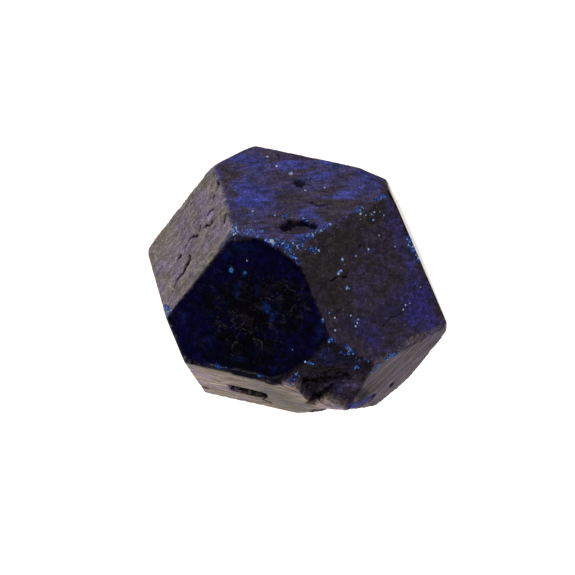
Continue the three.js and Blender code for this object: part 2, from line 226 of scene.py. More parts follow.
# Where dull ground is bluer or browner.
BLUE_PATCHES = {
    "top": [
        (-198, 230, 62, 42, 75), (-26, 189, 50, 40, 60), (-190, -50, 55, 42, 100),
        (-160, 10, 60, 50, 70, 20), (-230, 62, 42, 50, 50), (-120, -22, 36, 44, 55), (90, 120, 55, 30, 45),
        (193, -14, 55, 34, 60), (50, -142, 48, 34, 75), (280, 70, 60, 60, 40), (154, 203, 60, 30, 35, -10),
        (-190, -260, 80, 40, 30), (13, -282, 22, 18, 120),
    ],
    "right": [
        (205, -230, 80, 90, 95), (190, -150, 70, 60, 45), (250, 20, 40, 160, 40),
        (40, -30, 100, 50, 20, -10), (-100, -170, 90, 50, 25), (190, -300, 90, 40, 50, -10),
        (-20, -210, 140, 60, 45),
    ],
    "left": [
        (-160, -210, 50, 80, 60), (-120, 110, 80, 50, 45, 30), (120, -220, 90, 50, 45, 20),
        (-60, -220, 60, 50, 40), (20, 80, 140, 160, 42), (-60, 200, 120, 80, 60),
    ],
    "worn": [(30, 30, 80, 50, 80), (150, 20, 80, 50, 60)],
    "underRight": [
        (-90, -88, 90, 30, 160), (240, 160, 100, 80, 160), (-60, 90, 70, 50, 100, 38),
        (40, 20, 160, 130, 60),
    ],
}
BROWN_PATCHES = {
    "underFront": [(20, 20, 200, 160, 80)],
    "top": [
        (-271, 121, 50, 60, 60), (-34, -10, 80, 40, 25), (124, -134, 70, 50, 45), (160, -62, 90, 20, 60),
        (-192, -111, 40, 22, 50), (64, 245, 70, 20, 50, -10), (-10, -230, 50, 30, 60),
    ],
    "right": [
        (-60, 150, 160, 90, 60, 10), (-140, 20, 60, 130, 40, 20), (130, 205, 120, 50, 50, 10),
        (158, -90, 50, 50, 45), (60, -230, 70, 30, 45, 10),
    ],
}
# Where the glassy front face is black-brown instead of navy.
BLACK_PATCHES = {
    "front": [
        (-10, 40, 135, 110, 100), (-160, 30, 110, 90, 70, 20), (-40, -110, 120, 70, 80),
        (100, 60, 90, 90, 80), (-50, -190, 180, 60, 50),
    ],
}
# Where the paint is lighter or darker than the rest of its face.
LIGHT_PATCHES = {
    "underFront": [
        (80, 10, 110, 170, 46), (190, 160, 80, 180, 130), (280, 60, 90, 120, 140), (-230, 60, 90, 140, 150),
    ],
    "top": [(190, -155, 170, 40, 82, 30), (-170, -20, 100, 80, 84)],
    "underRight": [(-110, 20, 50, 80, 65), (-90, -90, 90, 30, 160), (-40, -30, 90, 120, 60)],
    "right": [(-20, -210, 140, 60, 68), (-210, 40, 45, 260, 66, 22), (210, -200, 90, 90, 66)],
    "left": [(-90, 170, 100, 100, 120, 30)],
    "front": [(-30, -180, 200, 80, 50)],
}
# Blue light from inside the front face. The first four are bright spots.
GLOWS = {
    "front": [
        (16, 46, 20, 23, 110), (52, 22, 14, 26, 90, -20), (-148, 176, 10, 12, 200), (-87, 176, 7, 9, 170),
        (-116, 95, 13, 34, 45), (-25, 112, 12, 30, 30), (-115, 278, 50, 24, 30), (-173, 240, 24, 26, 25),
        (-196, -144, 12, 20, 45), (-216, -30, 30, 14, 20), (-330, -70, 18, 30, 35), (-83, -192, 40, 16, 25),
        (88, -200, 26, 12, 50), (250, 5, 20, 50, 35),
    ],
}
# Where the front face is crazed with fine healed cracks.
CRAZED = {
    "front": [(-70, -90, 130, 110, 100), (100, 90, 90, 80, 90), (-20, 20, 160, 140, 50)],
}

# Strokes: half width, depth or strength, then the points that the stroke runs through. Strokes "inside" the
# break have points with three coordinates, from the crystal's middle.
# Slits, cracks and ledges.
SLITS = {
    "left": [
        (9.4, 20, (-139, 208), (-119, 205), (-117, 191), (-101, 179)), (6.2, 12, (-90, 167), (-81, 156)),
        (5.6, 10, (-30, 142), (-41, 120), (-40, 100)), (6.9, 14, (21, 113), (24, 92), (6, 72)),
        (5, 8, (-31, 45), (-10, 32)), (6.9, 15, (1, 15), (-14, 0), (-31, -17), (-28, -41), (-20, -63)),
        (8.1, 14, (-7, -106), (-8, -126)), (10.6, 20, (52, -61), (73, -74), (79, -96), (94, -114)),
        (6.9, 15, (94, -114), (91, -158), (107, -186)), (5.6, 10, (73, 197), (83, 183), (107, 175)),
    ],
    "top": [
        (4.5, 6, (51, -62), (84, -80), (132, -72)),
        (4.5, 5, (132, -72), (160, -82), (193, -78), (220, -86), (254, -72), (310, -64)),
        (3, 3, (12, -94), (51, -62)), (11, 24, (15, -190), (42, -202), (66, -214)),
        (3.5, 3, (-60, -128), (-42, -150), (-10, -156)), (3, 2.5, (-50, -122), (-20, -136), (14, -134)),
        (3, 2.5, (-272, -152), (-230, -142), (-186, -146)),
        (3, 2.5, (-260, -172), (-210, -166), (-160, -170)), (3, 2, (-250, -130), (-200, -124)),
    ],
    "front": [(2.2, 0.6, (-284, 84), (-241, 82), (-206, 85), (-165, 92))],
    "right": [
        (4.5, 8, (-140, 42), (-101, 39), (-66, 27)),
        (5, 5.5, (14, -228), (46, -218), (74, -214), (120, -221)),
        (4, 3, (-30, -160), (10, -130), (26, -90)), (4, 2.5, (-35, 20), (10, -10), (50, -50)),
    ],
    "underFront": [
        (6, 10, (-220, 86), (-203, 80), (-186, 58)), (4, 5, (-260, -30), (-230, -42)),
        (5, 10, (0, -20), (-22, -81), (2, -108)), (9, 14, (230, 240), (220, 120), (204, 30)),
    ],
}
# Valleys in the break.
VALLEYS = {
    "inside": [
        (20, 26, (142, -505, -130), (110, -515, -162), (82, -485, -205), (52, -445, -262)),
        (50, 14, (100, -385, -362), (140, -420, -334), (175, -450, -312)),
    ],
}
# Fine light scratches, cracks and the lip of the break.
SCRATCHES = {
    "front": [
        (1.5, 100, (-178, -78), (-160, -69), (-138, -69)), (1.5, 100, (-170, -50), (-150, -56)),
        (1.5, 100, (-82, -52), (-69, -32), (-51, -9)), (1.5, 100, (-70, -60), (-56, -40)),
        (1.5, 100, (4, 91), (29, 84), (62, 83)), (1.5, 100, (126, 62), (139, 90), (150, 113)),
        (1.5, 100, (101, 9), (93, 33), (115, 44), (126, 62)),
        (1.5, 100, (-21, -96), (-2, -94), (16, -98), (20, -134)),
        (1.5, 100, (-91, -115), (-108, -141), (-104, -176), (-99, -186)),
        (1.5, 100, (-21, -96), (-39, -69), (-65, -66), (-82, -52)),
    ],
    "wornLow": [
        (4, 100, (-27, 59), (-2, 51), (23, 38), (56, 48), (97, 51), (138, 42), (163, 29), (180, -2),
         (205, -22), (238, -30), (271, -20)),
    ],
}
# Ground that is broken, though its face is whole, and ground that is dull, though its face is glassy.
BREAKS = {
    "underRight": [
        (42, 90, (-180, 70), (-135, 20), (-100, -30), (-80, -90)),
        (36, 100, (-205, -6), (-144, -69), (-81, -94), (-40, -88)),
    ],
}
DULLED = {
    "front": [(14, 100, (-180, 312), (-90, 324))],
    "left": [(16, 100, (202, 190), (206, 150), (203, 125))],
}
# Pale ground that reaches over the edge of its face, and pale and blue ground in the break.
PALED = {
    "top": [(18, 70, (-330, 72), (-305, -41), (-285, -142))],
    "right": [(20, 60, (-90, -354), (70, -346), (180, -345), (250, -350))],
}
BREAK_PALE = {
    "inside": [(32, 60, (295, -495, -110), (260, -485, -170), (235, -480, -205))],
}
BREAK_BLUE = {
    "inside": [(20, 100, (170, -510, -225), (205, -510, -235), (240, -465, -260), (278, -428, -262))],
}
# Painted shade in clefts, and dark ground along the foot of the glassy face.
DARKENED = {
    "underFront": [
        (10, 80, (230, 260), (220, 120), (204, 30)),
        (24, 100, (-81, 233), (-28, 234), (7, 237), (39, 225), (67, 210), (101, 253)),
        (7, 80, (-5, -30), (-22, -81), (2, -108)),
    ],
}
# Where tiny turquoise crystals are strewn, and violet-white ones.
TURQUOISE = {
    "bevel": [
        (16, 100, (-112, 110), (-92, 98)), (15, 90, (-86, 102), (-48, 92), (-30, 74)),
        (10, 60, (-40, 70), (-10, 48), (10, 20)), (7, 80, (-35, 125), (2, 123)), (14, 22, (5, 95), (33, 91)),
    ],
    "top": [
        (8, 80, (25, -285), (75, -285)), (7, 50, (-62, -162), (-45, -148)),
        (7, 40, (-5, -166), (40, -182), (62, -220)),
    ],
    "right": [
        (16, 30, (-184, 240), (-130, 244)), (11, 40, (-120, 246), (40, 250), (160, 252), (250, 256)),
        (13, 95, (-38, 255), (-12, 256)), (12, 90, (36, 254), (112, 250)), (11, 95, (144, 249), (170, 250)),
        (15, 75, (210, 252), (260, 256)), (12, 60, (270, 260), (282, 266)),
        (11, 100, (283, 45), (284, -10), (283, -60)), (16, 20, (-180, 190), (-140, 175)),
        (6, 60, (-48, 95), (-46, 90)), (5, 60, (-80, 56), (-92, 47)), (7, 95, (-84, -22), (-78, -20)),
        (5, 50, (82, 80), (90, 76)),
    ],
    "worn": [
        (12, 75, (66, 124), (90, 116)), (13, 90, (142, 86), (160, 60)),
        (9, 40, (118, 50), (150, 44), (175, 52)), (7, 50, (185, 52), (220, 48)),
        (9, 75, (220, 4), (236, -4)), (9, 75, (178, -32), (192, -32)), (11, 80, (36, 50), (52, 42)),
        (10, 50, (-16, 14), (2, 6)),
    ],
    "wornLow": [(10, 60, (-76, 26), (-39, 35)), (8, 90, (-55, 6), (-60, 16))],
    "underRight": [(11, 80, (-40, 180), (-10, 182), (24, 184)), (13, 75, (-98, 140), (-66, 166))],
    "front": [
        (13, 80, (-166, -242), (-136, -246)), (5, 35, (-110, -250), (-20, -252)),
        (7, 40, (10, -252), (60, -250)), (6, 65, (250, 95), (262, 40)),
    ],
    "underFront": [(11, 85, (90, 268), (130, 274)), (10, 75, (156, 286), (186, 284))],
    "left": [(13, 80, (146, -262), (195, -248)), (7, 45, (195, -266), (230, -275))],
}
WHITE = {
    "top": [(26, 30, (-262, -210), (-250, -270)), (30, 14, (-240, -240), (-160, -275))],
    "bevel": [(25, 12, (-30, 90), (20, 70))],
    "right": [(35, 6, (130, 215), (220, 180))],
}
# Ground thick with pale flecks.
FROST = {
    "top": [
        (34, 75, (-270, -190), (-260, -245), (-150, -280)), (22, 40, (-300, -60), (-280, -160)),
        (20, 60, (-75, -160), (-20, -150), (45, -162)), (24, 14, (80, -230), (160, -170), (320, -90)),
    ],
    "right": [
        (30, 35, (-90, 60), (-30, 100)), (40, 40, (-120, -120), (-90, -180), (-200, -140)),
        (30, 35, (100, -220), (200, -240)), (28, 70, (220, 260), (285, 270)),
    ],
    "worn": [
        (40, 55, (-40, 20), (60, 50)), (30, 20, (60, 50), (230, 10)),
        (5, 90, (170, -95), (200, -105), (240, -90)),
    ],
    "front": [(80, 15, (-90, -60), (90, 90))],
    "wornLow": [
        (5, 130, (20, 30), (56, 42), (110, 46), (159, 42), (180, 16)),
        (5, 130, (180, 16), (193, -15), (222, -29), (275, -37)),
    ],
    "underRight": [(20, 30, (-160, 70), (-110, 50), (-90, 10))],
    "bevel": [(30, 50, (-60, 90), (20, 60))],
}
# Wear of the edges.
WORN = {
    "right": [(50, 5, (-190, 250), (260, 260))],
    "front": [(50, 7, (120, 270), (220, 160), (270, 20))],
    "top": [(40, 5, (-290, -310), (-140, -310)), (30, 5, (-330, 90), (-270, -220))],
}

# Outlines: depth under the face, then the points round it.
# Flat-bottomed pits, and what is left of the lower front face inside the break.
SLOTS = {
    "underFront": [(34, (-160, 42), (-101, 46), (12, 34), (10, -20), (-30, -52), (-113, -56), (-158, -42))],
}
REMNANTS = {
    "underFront": [
        (0, (134, 307), (172, 299), (187, 269), (189, 190), (186, 108), (164, -66), (56, -83)),
        (5, (220, -3), (258, 102), (291, 177), (322, 224), (343, 198), (358, 141), (377, 87), (347, 1),
         (211, -88)),
    ],
}

# Single bright grains, their pale tints partly painted glints: u, v, half width.
SPARKLES = {
    "top": [
        (-42, 126, 10), (-28, 130, 7), (-124, 244, 5), (-83, 183, 5), (-180, -121, 6), (35, 20, 4),
        (112, 40, 4), (-255, 20, 4), (-90, -150, 4),
    ],
    "right": [
        (-48, 93, 5), (-76, 53, 5), (-94, 49, 5), (-82, -22, 7), (85, 78, 4), (17, 81, 3.5), (157, 108, 3.5),
        (205, 38, 3), (136, 208, 3), (162, 198, 2.5), (214, 174, 3), (-112, -128, 4), (-90, -157, 4),
        (-100, -166, 3.5), (-109, -176, 4), (-186, -105, 4), (-204, -78, 3.5), (-210, -153, 4),
        (147, -198, 3.5), (170, -197, 3.5), (130, -210, 3.5), (248, -160, 3),
    ],
    "front": [(142, -104, 3), (-88, 229, 2.5)],
    "bevel": [(-100, 102, 10), (-90, 98, 6)],
}
# Painted light and shade in the break, where it is lighter or darker: radius, factor, place.
BREAK_LIGHT_AND_SHADE = {
    "inside": [(80, 150, (195, -500, -165)), (40, 130, (205, -500, -105)), (45, 60, (45, -470, -140))],
}
# Corners that are worn round: the faces that meet there, and how much is gone from the sharp corner.
ROUNDED = [
    (("top", "shoulder", "farRight"), 13),
    (("top", "shoulder", "backTop"), 9),
    (("top", "right", "farRight"), 10),
    (("top", "backLeft", "backTop"), 10),
    (("top", "left", "backLeft"), 8),
    (("left", "underLeft", "backLeft"), 10),
    (("right", "underRight", "farRight"), 8),
]
CORNER_SOFT = 0.04  # how softly that wear runs out


def ovals(marks):
    """Each oval of a table: its face, place, half sizes, amount and lean."""
    for name, entries in marks.items():
        for u, v, half_u, half_v, amount, *lean in entries:
            yield name, (u / 100, v / 100), (half_u / 100, half_v / 100), amount / 100, sum(lean)


def strokes(marks):
    """Each stroke of a table: its face, points, half width and amount."""
    for name, entries in marks.items():
        for width, amount, *points in entries:
            yield name, np.array(points) / 100, width / 100, amount / 100


def outlines(marks):
    """Each outline of a table: its face, points and depth."""
    for name, entries in marks.items():
        for deep, *points in entries:
            yield name, np.array(points) / 100, deep / 100


# ---------------------------------------------------------------- noise


def hashed(ix, iy, iz, seed):
    """A repeatable number from 0 to 1 for each cell of a lattice."""
    h = ix.astype(np.uint32) * np.uint32(73856093)
    h ^= iy.astype(np.uint32) * np.uint32(19349663)
    h ^= iz.astype(np.uint32) * np.uint32(83492791)
    h ^= np.uint32(seed * 2654435761 % 4294967296)
    h = (h ^ (h >> np.uint32(15))) * np.uint32(2246822519)
    h = (h ^ (h >> np.uint32(13))) * np.uint32(3266489917)
    h ^= h >> np.uint32(16)
    return h.astype(np.float64) / 4294967295.0


def noise(p, size, seed):
    """Smooth noise from -1 to 1, with lumps about size across."""
    q = p / size + 1000.0
    base = np.floor(q).astype(np.int64)
    f = q - base
    f = f * f * (3 - 2 * f)
    total = np.zeros(len(p))
    for step in np.ndindex(2, 2, 2):
        weight = np.prod(np.where(step, f, 1 - f), axis=1)
        total += weight * hashed(*(base + step).T, seed)
    return total * 2 - 1


def fractal(p, size, seed, octaves=4, gain=0.55):
    """Noise of several sizes, each half as large and weaker than the one before."""
    total = np.zeros(len(p))
    amplitude, norm = 1.0, 0.0
    for octave in range(octaves):
        total += amplitude * noise(p, size / 2**octave, seed + 17 * octave)
        norm += amplitude
        amplitude *= gain
    return total / norm


def cells(p, size, seed):
    """Distances to the nearest and the next of some scattered seeds, and a number for each cell."""
    q = p / size + 1000.0
    base = np.floor(q).astype(np.int64)
    best = np.full(len(p), 9.0)
    second = np.full(len(p), 9.0)
    label = np.zeros(len(p))
    for step in np.ndindex(3, 3, 3):
        cell = base + step - 1
        spot = cell + np.stack([hashed(*cell.T, seed + axis) for axis in range(3)], axis=1)
        d = np.linalg.norm(spot - q, axis=1)
        nearer = d < best
        second = np.where(nearer, best, np.minimum(second, d))
        label = np.where(nearer, hashed(*cell.T, seed + 3), label)
        best = np.where(nearer, d, best)
    return best * size, second * size, label


def smooth(low, high, x):
    """0 at low, 1 at high, and a soft slope between. Low may be the larger one."""
    t = np.clip((x - low) / (high - low), 0, 1)
    return t * t * (3 - 2 * t)


def along_face(p, name, lean, stretch):
    """Points squeezed along one direction of a face, so that noise made from them is drawn out that way."""
    way = FACES[name].way(lean)
    return p - np.outer(p @ way, way) * (1 - 1 / stretch)


# ---------------------------------------------------------------- the fine mesh

EDGE_REACH = (0.45 * GRID, 0.22 * GRID, 0.11 * GRID)  # how near an edge points snap to it, coarse to fine
SHALLOW = 0.42  # hollows down to this are flattened, because their marks are cut again, finer


def new_object(name, data):
    obj = bpy.data.objects.new(name, data)
    bpy.context.scene.collection.objects.link(obj)
    return obj


def clean_copy(node):
    """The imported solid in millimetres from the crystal's middle."""
    mesh = node.data.copy()
    mesh.transform(Matrix.Translation(Vector(-MIDDLE)) @ Matrix.Scale(1 / MM, 4))
    bm = bmesh.new()
    bm.from_mesh(mesh)
    bmesh.ops.remove_doubles(bm, verts=bm.verts, dist=1e-5)
    bm.to_mesh(mesh)
    bm.free()
    return mesh


def gridded(mesh):
    """The same solid on an even grid."""
    source = new_object("grid source", mesh)
    grid = source.modifiers.new("grid", "REMESH")
    grid.mode = "VOXEL"
    grid.voxel_size = GRID
    made = bpy.data.meshes.new_from_object(source.evaluated_get(bpy.context.evaluated_depsgraph_get()))
    bpy.data.objects.remove(source)
    return made


def snapped(p, solid, loose):
    """Moves the loose points onto the solid."""
    tree = BVHTree.FromPolygons([v.co for v in solid.vertices], [f.vertices for f in solid.polygons])
    p = p.copy()
    for i in np.flatnonzero(loose):
        p[i] = tree.find_nearest(Vector(p[i]))[0]
    return p


def read(mesh, what):
    """The place or the normal of each point."""
    return column(mesh.vertices, what, width=3)


def point_areas(mesh):
    """The area of surface that belongs to each point."""
    areas, sizes = column(mesh.polygons, "area"), column(mesh.polygons, "loop_total", int)
    corners = column(mesh.loops, "vertex_index", int)
    return np.bincount(corners, np.repeat(areas / sizes, sizes), len(mesh.vertices))


def write(mesh, p):
    """Moves the points to p."""
    mesh.vertices.foreach_set("co", p.ravel())
    mesh.update()


def heights(p):
    """How far each point stands above each flat face."""
    return p @ NORMALS.T - REACHES


def healed(p):
    """Puts the points of each flat face exactly on it, shallow marks included."""
    h = heights(p)
    nearest = h.argmax(1)
    above = h[np.arange(len(p)), nearest]
    second = np.sort(h, 1)[:, -2]
    inner = smooth(-0.02, -0.07, second)  # 1 away from the face's edges
    shallow = (above > -SHALLOW) & ~np.isin(nearest, [NAMES.index(name) for name in BROKEN])
    flat = np.where(shallow, inner, 0.0)
    flat = np.maximum(flat, (1 - smooth(0.008, 0.02, np.abs(above))) * inner)
    flat = np.where(above > 0.006, 0.6, flat)  # what stands proud is pressed down, but not all the way
    return p - NORMALS[nearest] * (above * flat)[:, None]


def edged(p, reach):
    """Moves the points that are within reach of a straight edge onto it, so that edges stay crisp."""
    h = heights(p)
    first, second = np.argsort(h, 1)[:, -1:-3:-1].T
    rows = np.arange(len(p))
    a, b = -h[rows, first], -h[rows, second]
    lean = np.einsum("ij,ij->i", NORMALS[first], NORMALS[second])
    to_first = (a - lean * b)[:, None] * NORMALS[first]
    to_second = (b - lean * a)[:, None] * NORMALS[second]
    move = (to_first + to_second) / (1 - lean**2)[:, None]
    near = np.linalg.norm(move, axis=1) < reach
    return p + move * near[:, None]


def refine(mesh, wanted):
    """Halves the grid between the wanted points."""
    bm = bmesh.new()
    bm.from_mesh(mesh)
    chosen = [edge for edge in bm.edges if wanted[edge.verts[0].index] and wanted[edge.verts[1].index]]
    bmesh.ops.subdivide_edges(bm, edges=chosen, cuts=1, use_grid_fill=True)
    bm.to_mesh(mesh)
    bm.free()


# ---------------------------------------------------------------- measuring marks on the surface

EDGE_SOFT = 0.035  # how softly one face runs over into the next
MARK_DEEP = 0.6  # how far above and below its face an oval reaches
WANDER = 0.045  # how far strokes wander from their points
BRIGHT_GLOWS = 4  # how many of GLOWS are so small that they need a finer grid


class Surface:
    """The fine mesh's points, with what every mark needs to know about them."""

    def __init__(self, p):
        self.p = p
        h = self.h = heights(p)
        self.proud = h.max(1)
        soft = np.exp((h - h.max(1, keepdims=True)) / EDGE_SOFT)
        self.shares = soft / soft.sum(1, keepdims=True)
        ordered = np.sort(h, 1)
        self.edge = ordered[:, -1] - ordered[:, -2]  # 0 on an edge, growing away from it
        self.sunk = smooth(-0.04, -0.10, self.proud)  # 1 inside the break
        self.bent = p + WANDER * np.stack([noise(p, 0.28, seed) for seed in (71, 72, 73)], axis=1)

    def share(self, *names):
        """How much of each point belongs to these faces. It runs over softly at an edge."""
        return sum(self.shares[:, NAMES.index(name)] for name in names)

    def by_face(self, values, rest):
        """A value that differs from face to face."""
        return self.shares @ [values.get(name, rest) for name in NAMES]

    def margin(self, name):
        """1 on a face, 0 off it, with a soft and uneven border."""
        own = NAMES.index(name)
        others = np.arange(len(NAMES)) != own
        steps = np.linalg.norm(NORMALS[own] - NORMALS[others], axis=1)
        inward = ((self.h[:, [own]] - self.h[:, others]) / steps).min(1)
        return smooth(-0.09, 0.09, inward + 0.06 * noise(self.p, 0.25, 74)) * (self.h[:, own] > -0.2)

    def oval(self, name, at, size, lean, soft, ragged):
        """How far inside an oval each point lies: 1 in the middle, 0 outside a ragged edge."""
        face = FACES[name]
        c, s = math.cos(math.radians(lean)), math.sin(math.radians(lean))
        d = self.p - face.point(*at)
        du, dv, dh = d @ face.u, d @ face.v, d @ face.normal
        across = np.hypot((c * du + s * dv) / size[0], (c * dv - s * du) / size[1])
        reach = np.hypot(across, dh / MARK_DEEP)
        close = reach < 2.2
        mask = np.zeros(len(reach))
        wobble = ragged * noise(self.p[close], 0.5 * min(size) + 0.06, 5)
        mask[close] = smooth(1 + soft, 1 - soft, reach[close] + wobble)
        return mask

    def stroke(self, name, points, width, ragged=0.35):
        """A wandering line through some points: 1 along it, 0 outside a ragged edge."""
        spots = points if name == "inside" else np.array([FACES[name].point(u, v) for u, v in points])
        away = np.full(len(self.p), 99.0)
        for start, end in zip(spots, spots[1:]):
            run = end - start
            t = np.clip((self.bent - start) @ run / (run @ run), 0, 1)
            away = np.minimum(away, np.linalg.norm(self.bent - start - t[:, None] * run, axis=1))
        close = away < 2.5 * width
        mask = np.zeros(len(away))
        wobble = ragged * width * noise(self.p[close], 3 * width, 6)
        mask[close] = smooth(1.25 * width, 0.3 * width, away[close] + wobble)
        return mask

    def inside(self, name, outline, soft=0.05):
        """1 inside a convex outline on a face, 0 outside it, with a slope of width soft within the rim."""
        face = FACES[name]
        u, v = self.p @ face.u, self.p @ face.v
        middle = outline.mean(axis=0)
        depth = np.full(len(u), 9.0)
        for (u0, v0), (u1, v1) in zip(outline, np.roll(outline, -1, axis=0)):
            across = unit((v0 - v1, u1 - u0))
            if (middle - (u0, v0)) @ across < 0:
                across = -across
            depth = np.minimum(depth, (u - u0) * across[0] + (v - v0) * across[1])
        depth = depth + 0.04 * noise(self.p, 0.22, 9)
        return smooth(0, soft, depth) * (np.abs(self.p @ face.normal - face.reach) < 0.5)

    def patches(self, marks, soft=0.45, ragged=0.5):
        """How strong a table of ovals is at each point. Each oval stays on its own face."""
        total = np.zeros(len(self.p))
        for name, at, size, strength, lean in ovals(marks):
            oval = self.oval(name, at, size, lean, soft, ragged)
            total = np.maximum(total, strength * oval * self.share(name))
        return total

    def strewn(self, marks, ragged=0.35):
        """How strong a table of strokes is at each point."""
        total = np.zeros(len(self.p))
        for name, points, width, strength in strokes(marks):
            total = np.maximum(total, strength * self.stroke(name, points, width, ragged))
        return total


def fine_work(s, spacing):
    """Where a grid of this spacing has to be halved."""
    wanted = np.zeros(len(s.p), bool)
    for name, at, size, _, lean in ovals(PITS):
        wanted |= s.oval(name, at, np.add(size, spacing), lean, 0.1, 0) > 0
    for name, at, size, _, lean in list(ovals(GLOWS))[:BRIGHT_GLOWS]:
        wanted |= s.oval(name, at, np.add(size, 0.05), lean, 0.1, 0) > 0
    for name, points, width, _ in [*strokes(SLITS), *strokes(SCRATCHES)]:
        wanted |= s.stroke(name, points, width + spacing, 0) > 0
    for name, outline, _ in outlines(SLOTS):
        wanted |= s.inside(name, outline, 0.2) > 0
    hollow = (s.proud < -0.03) & (s.share(*BROKEN) > 0.4)
    edge = (s.edge < 0.6 * spacing) & ((s.share(*GLASSY) > 0.4) | (s.share(*IN_FRONT) > 0.6))
    return wanted | hollow | edge


# ---------------------------------------------------------------- relief

DARK_VALLEY = 0.20  # valleys deeper than this lie in shade
# How deep each texture is on each group of faces.
TEXTURES = {
    TOP_LIKE: {"waves": 0.012, "grain": 0.005, "crumbs": 0.007},
    RIGHT_LIKE + ("bevel",): {"grain": 0.004, "crumbs": 0.003},
    ("left", "underLeft", "backLeft", "underFront"): {"streaks": 0.009, "grain": 0.003},
    ("underRight",): {"growth": 0.014, "grain": 0.004},
    BROKEN: {"waves": 0.020, "grain": 0.035, "crumbs": 0.030},
}
EDGE_WORN = 0.022  # rounding of every edge
NIBBLED = 0.035  # depth of the uneven bites out of the edges
PIT_DEPTH = 0.03  # of the scattered pits


def marks_relief(s):
    """Depth of the pits and slits, and the painted shade inside them."""
    depth, dark = np.zeros(len(s.p)), np.zeros(len(s.p))
    for name, at, size, deep, lean in ovals(PITS):
        pit = s.oval(name, at, size, lean, 0.20, 0.5) * (s.share(name) > 0.5)
        depth = np.maximum(depth, deep * pit)
        dark = np.maximum(dark, pit * smooth(0.02, 0.18, deep))
    for name, points, width, deep in strokes(SLITS):
        slit = s.stroke(name, points, width, 0.8) * (s.share(name) > 0.3)
        depth = np.maximum(depth, deep * slit)
        dark = np.maximum(dark, smooth(0.10, 0.55, slit) * smooth(0.01, 0.09, deep))
    for name, outline, deep in outlines(SLOTS):
        slot = s.inside(name, outline)
        depth = np.maximum(depth, deep * slot)
        dark = np.maximum(dark, smooth(0, 0.2, slot))
    for name, points, width, deep in strokes(VALLEYS):
        valley = s.stroke(name, points, width)
        depth = np.maximum(depth, deep * valley)
        dark = np.maximum(dark, (deep > DARK_VALLEY) * smooth(0.2, 0.9, valley))
    return depth * (1 + 0.5 * fractal(s.p, 0.22, 43, 3)), dark


def face_relief(s):
    """Height of each face's own texture, never above the face."""
    p = s.p
    lumps, next_lumps, _ = cells(p, 0.24, 16)
    texture = {
        "waves": fractal(along_face(p, "top", 4, 3.0), 0.34, 11),
        "grain": fractal(p, 0.22, 12, 3),
        "streaks": fractal(along_face(p, "left", 93, 5.0), 0.24, 13),
        "growth": fractal(along_face(p, "underRight", 38, 7.0), 0.20, 14, 3),
        "crumbs": smooth(0.0, 0.10, next_lumps - lumps) - 1,
    }
    relief = 0.012 * fractal(p, 1.8, 15, 3) - 0.014
    for names, depths in TEXTURES.items():
        relief += s.share(*names) * sum(deep * texture[kind] for kind, deep in depths.items())
    relief *= 1 - 0.95 * s.share(*GLASSY)
    return np.minimum(relief * (1 - s.share("base")), 0)


def kept_ground(s):
    """How far the remnants of the lower front face stand out of the break, and where they are."""
    rise, kept = np.zeros(len(s.p)), np.zeros(len(s.p))
    for name, outline, below in outlines(REMNANTS):
        below_face = -s.h[:, NAMES.index(name)]
        here = s.inside(name, outline, 0.04) * (below_face < 0.40) * (s.share(*BROKEN) > 0.5)
        rise = np.maximum(rise, here * (below_face - below))
        kept = np.maximum(kept, here)
    return rise, kept


def outward(s, normals):
    """The way that relief goes: square to the flat faces, and to the surface itself inside the break."""
    steady = s.shares @ NORMALS
    steady /= np.linalg.norm(steady, axis=1)[:, None]
    inside = smooth(-0.03, -0.10, s.proud)[:, None]
    return steady * (1 - inside) + normals * inside


def softened(x, soft):
    """The same as x where x is well above 0, and 0 where it is well below, with a soft turn between."""
    return soft * np.log1p(np.exp(x / soft))


def edge_wear(s):
    """Extra rounding and uneven nibbling of the edges."""
    worn = np.full(len(s.p), EDGE_WORN)
    for name, points, width, deep in strokes(WORN):
        worn += deep * s.stroke(name, points, width, 0)
    bite = smooth(0.1, 0.8, fractal(s.p, 0.5, 21, 3)) * smooth(0.22, 0.0, s.edge)
    return -softened(-s.edge, worn) - NIBBLED * bite * (1 - s.share("base"))


def rounded(p):
    """Takes each worn corner down to a soft plane across it."""
    for names, gone in ROUNDED:
        corner = meeting_point(*names)
        way = unit(corner)
        p = p - np.outer(softened((p - corner) @ way + gone / 100, CORNER_SOFT), way)
    return p


def random_pits(s):
    """Scattered small pits, most of them on the dull faces."""
    near, _, label = cells(s.p, 0.62, 31)
    pit = smooth(0.15, 0.05, near) * (label > 0.75)
    return PIT_DEPTH * pit * (s.share(*GRAINY) + 0.3 * s.share("left", "underLeft", "backLeft"))


def hollow_relief(s):
    """Rough broken ground inside the hollow of the broken corner, with sharp ridges."""
    deep = smooth(-0.04, -0.16, s.proud)
    ridges = 0.35 - np.abs(fractal(s.bent, 0.55, 41, 4))
    return deep * (0.16 * ridges + 0.04 * noise(s.p, 0.16, 42))


# ---------------------------------------------------------------- paint

# How light each face is painted, where that isn't 1, and how blue its dull ground is, where that isn't 0.
FACE_LIGHT = {"top": 1.42, "left": 1.33, "right": 0.90, "underRight": 0.60, "bevel": 0.39}
FACE_LIGHT |= {"worn": 0.26, "wornLow": 0.50}
FACE_BLUE = {"left": 0.10, "bevel": 0.42}
FACE_BLUE |= {name: 0.42 for name in TOP_LIKE} | {name: 0.30 for name in RIGHT_LIKE}
# A glassy face is clear down to the first polish, and rough below the second.
CLEAR_FROM, ROUGH_BELOW = 0.97, 0.80


